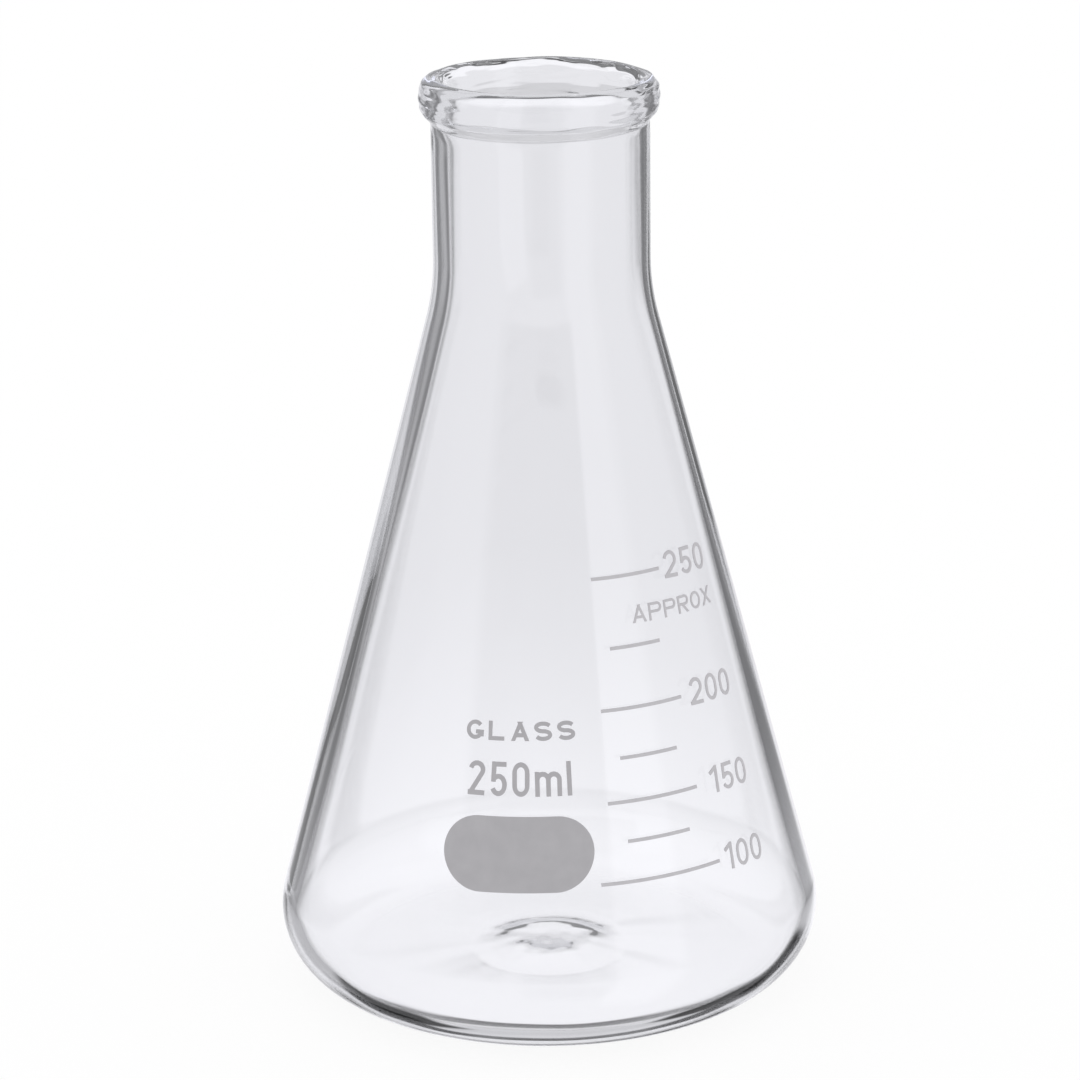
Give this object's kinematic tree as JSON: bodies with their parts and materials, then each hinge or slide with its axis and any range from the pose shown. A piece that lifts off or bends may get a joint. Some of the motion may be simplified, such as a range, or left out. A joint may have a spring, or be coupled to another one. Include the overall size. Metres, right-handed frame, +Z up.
{
  "type": "conical laboratory flask",
  "caption": "Clear glass conical flask with a narrow beaded neck, a rounded heel, a domed base, a grey write-on patch and a printed volume scale.",
  "frame": {"origin": "centre of the base, on the surface that the flask stands on", "axes": "+Z up along the axis of the flask; the write-on patch faces -Y, about 7 degrees towards -X, and the volume scale is 27 degrees towards +X"},
  "size_m": [0.0854, 0.0854, 0.1437],
  "materials": {
    "glass": "clear fire-polished borosilicate glass",
    "enamel": "matt grey ceramic enamel, fired on the glass"
  },
  "bodies": {
    "root": {"glass_body": "glass", "write_on_patch": "enamel", "capacity_mark": "enamel", "glass_mark": "enamel", "approx_mark": "enamel", "line_250": "enamel", "line_225": "enamel", "line_200": "enamel", "line_175": "enamel", "line_150": "enamel", "line_125": "enamel", "line_100": "enamel", "number_250": "enamel", "number_200": "enamel", "number_150": "enamel", "number_100": "enamel"}
  },
  "joints": []
}
